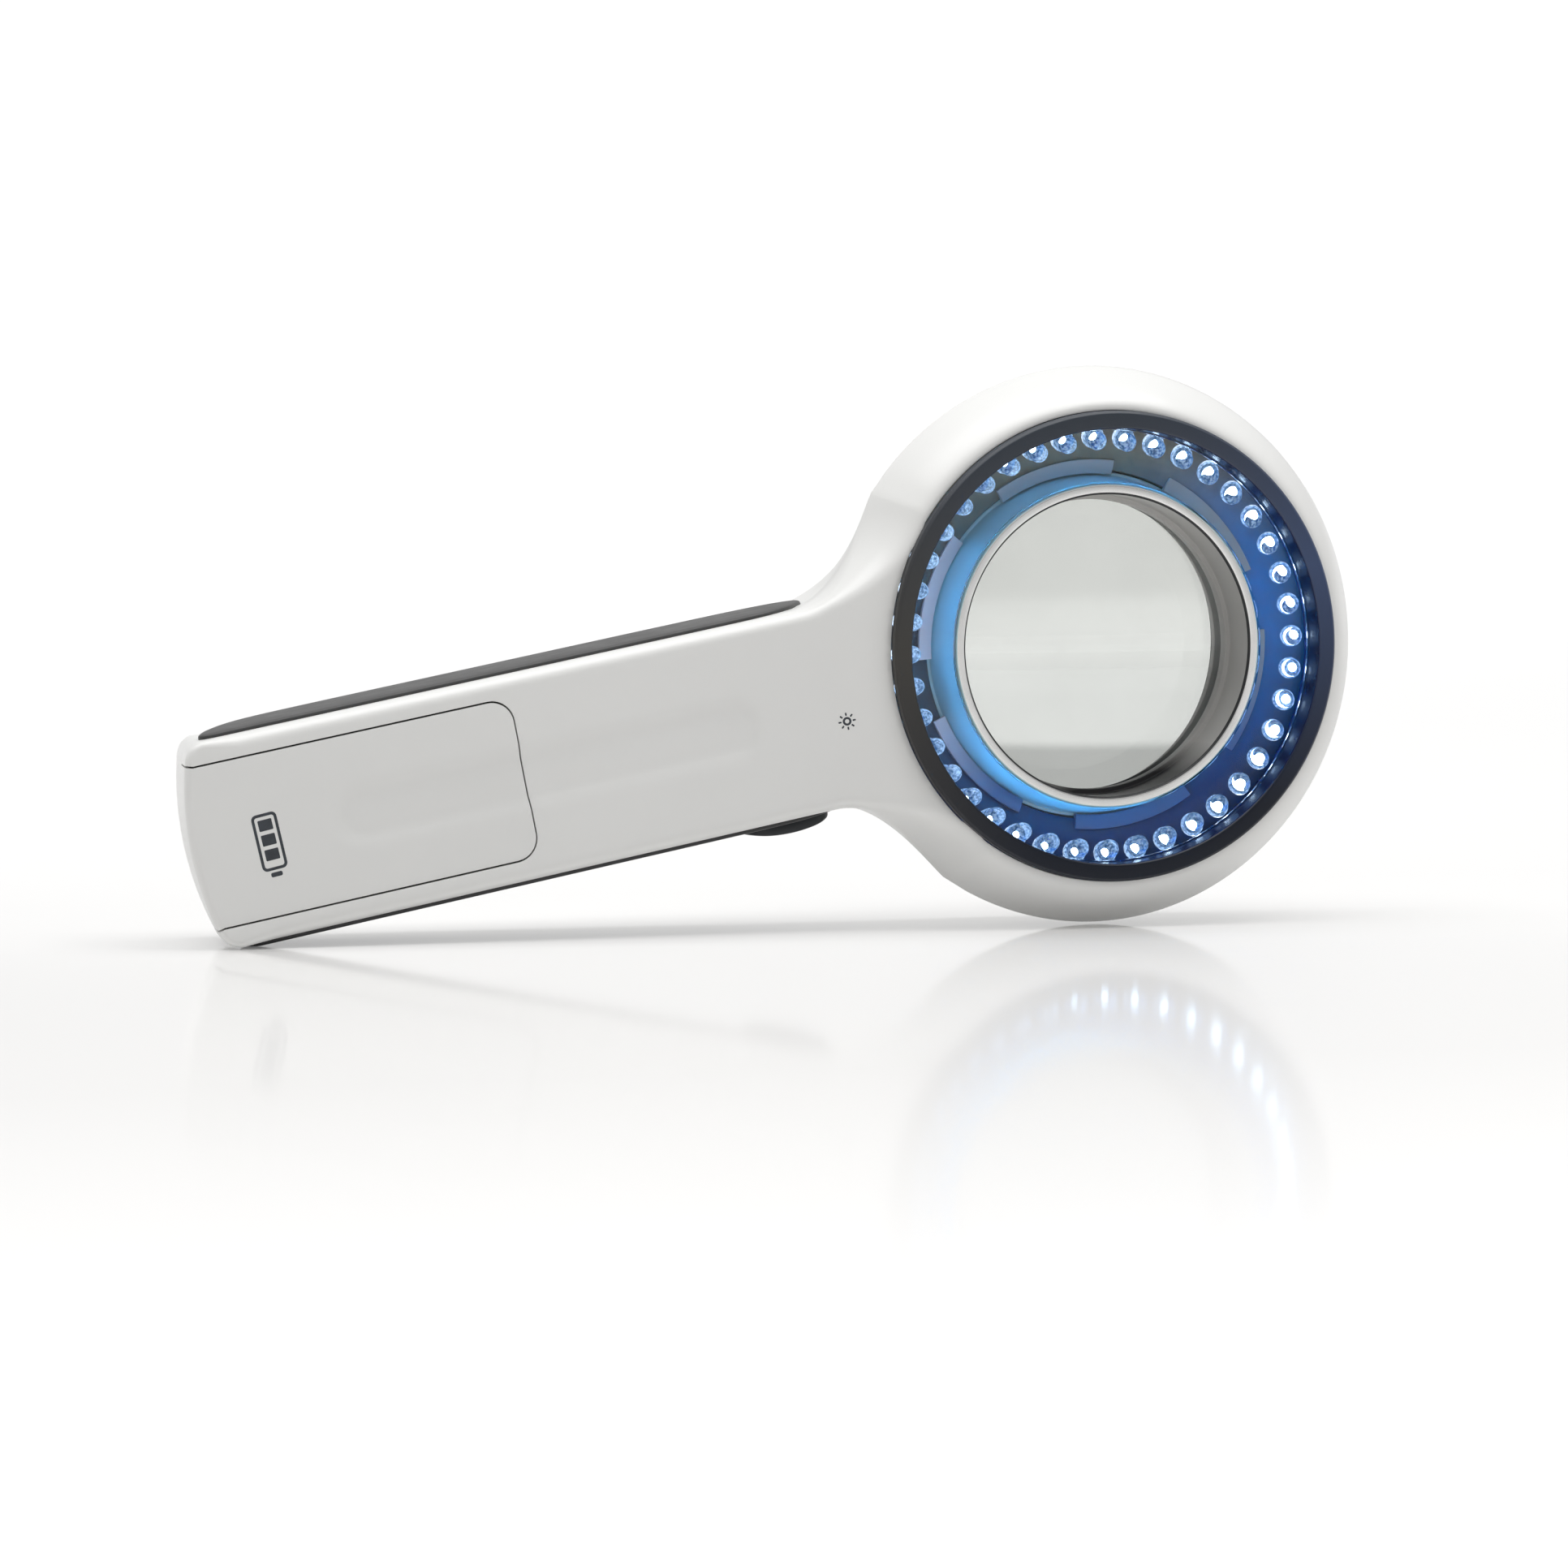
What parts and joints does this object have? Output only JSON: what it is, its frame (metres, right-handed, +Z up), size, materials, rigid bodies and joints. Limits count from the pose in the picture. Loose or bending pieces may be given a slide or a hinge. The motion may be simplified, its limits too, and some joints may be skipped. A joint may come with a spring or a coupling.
{
  "type": "low vision magnifier",
  "caption": "Hand-held magnifier with a lens in a ring of diodes, a straight battery handle with side grips, a sliding battery door and a side push button.",
  "frame": {"origin": "middle of the base of the bounding box, on the surface the magnifier stands on with its edge down", "axes": "+X along the object from the handle end to the head, +Y through the thickness from the lighted face to the back, +Z up"},
  "size_m": [0.1938, 0.03, 0.089],
  "materials": {
    "analyser_filter": "neutral grey sheet",
    "battery_door": "satin white",
    "battery_tray": "moulded black",
    "cell_1": "printed sleeve over steel",
    "cell_2": "printed sleeve over steel",
    "cell_3": "printed sleeve over steel",
    "cell_4": "printed sleeve over steel",
    "contact_plate_inner": "nickel plated",
    "contact_plate_outer": "nickel plated",
    "contact_spring_1": "nickel plated",
    "contact_spring_2": "nickel plated",
    "contact_spring_3": "nickel plated",
    "contact_spring_4": "nickel plated",
    "control_board": "solder mask green",
    "diode_bank_1": "clear epoxy",
    "diode_bank_2": "clear epoxy",
    "diode_bank_3": "clear epoxy",
    "diode_bank_4": "clear epoxy",
    "diode_board": "solder mask green",
    "diode_carrier": "satin grey",
    "driver_chip": "moulded black",
    "front_bezel": "satin black",
    "front_housing": "satin white",
    "housing_screw_1": "nickel plated",
    "housing_screw_2": "nickel plated",
    "housing_screw_3": "nickel plated",
    "housing_screw_4": "nickel plated",
    "lens": "clear, polished",
    "lens_barrel": "satin silver",
    "lens_cell": "satin silver",
    "lens_retainer": "matt black",
    "polariser_ring": "clear, faintly tinted sheet",
    "power_button": "matt black",
    "power_inductor": "ferrite",
    "rear_bezel": "satin black",
    "rear_housing": "satin white",
    "rear_window": "clear, polished",
    "side_grip_lower": "soft matt dark grey",
    "side_grip_upper": "soft matt dark grey",
    "switch_plunger": "matt",
    "tact_switch": "plated can",
    "wire_battery_negative": "insulated wire",
    "wire_battery_positive": "insulated wire",
    "wire_diode_negative": "insulated wire",
    "wire_diode_positive": "insulated wire"
  },
  "bodies": {
    "body": {"analyser_filter": "analyser_filter", "battery_tray": "battery_tray", "cell_1": "cell_1", "cell_2": "cell_2", "cell_3": "cell_3", "cell_4": "cell_4", "contact_plate_inner": "contact_plate_inner", "contact_plate_outer": "contact_plate_outer", "contact_spring_1": "contact_spring_1", "contact_spring_2": "contact_spring_2", "contact_spring_3": "contact_spring_3", "contact_spring_4": "contact_spring_4", "control_board": "control_board", "diode_bank_1": "diode_bank_1", "diode_bank_2": "diode_bank_2", "diode_bank_3": "diode_bank_3", "diode_bank_4": "diode_bank_4", "diode_board": "diode_board", "diode_carrier": "diode_carrier", "driver_chip": "driver_chip", "front_bezel": "front_bezel", "front_housing": "front_housing", "housing_screw_1": "housing_screw_1", "housing_screw_2": "housing_screw_2", "housing_screw_3": "housing_screw_3", "housing_screw_4": "housing_screw_4", "lens": "lens", "lens_barrel": "lens_barrel", "lens_cell": "lens_cell", "lens_retainer": "lens_retainer", "polariser_ring": "polariser_ring", "power_inductor": "power_inductor", "rear_bezel": "rear_bezel", "rear_housing": "rear_housing", "rear_window": "rear_window", "side_grip_lower": "side_grip_lower", "side_grip_upper": "side_grip_upper", "tact_switch": "tact_switch", "wire_battery_negative": "wire_battery_negative", "wire_battery_positive": "wire_battery_positive", "wire_diode_negative": "wire_diode_negative", "wire_diode_positive": "wire_diode_positive"},
    "battery_door": {"battery_door": "battery_door"},
    "power_button": {"power_button": "power_button"},
    "switch_plunger": {"switch_plunger": "switch_plunger"}
  },
  "joints": [
    {"name": "battery_door_slide", "type": "slide", "parent": "body", "child": "battery_door", "axis": [-0.9806, 0, -0.196], "range_m": [0, 0.058]},
    {"name": "power_button_press", "type": "slide", "parent": "body", "child": "power_button", "axis": [-0.196, 0, 0.9806], "range_m": [0, 0.0008], "stiffness_N_per_m": 1500},
    {"name": "switch_plunger_press", "type": "slide", "parent": "body", "child": "switch_plunger", "axis": [-0.196, 0, 0.9806], "range_m": [0, 0.0008]}
  ],
  "couplings": [
    {"joint": "switch_plunger_press", "follows": "power_button_press", "ratio": 1}
  ]
}
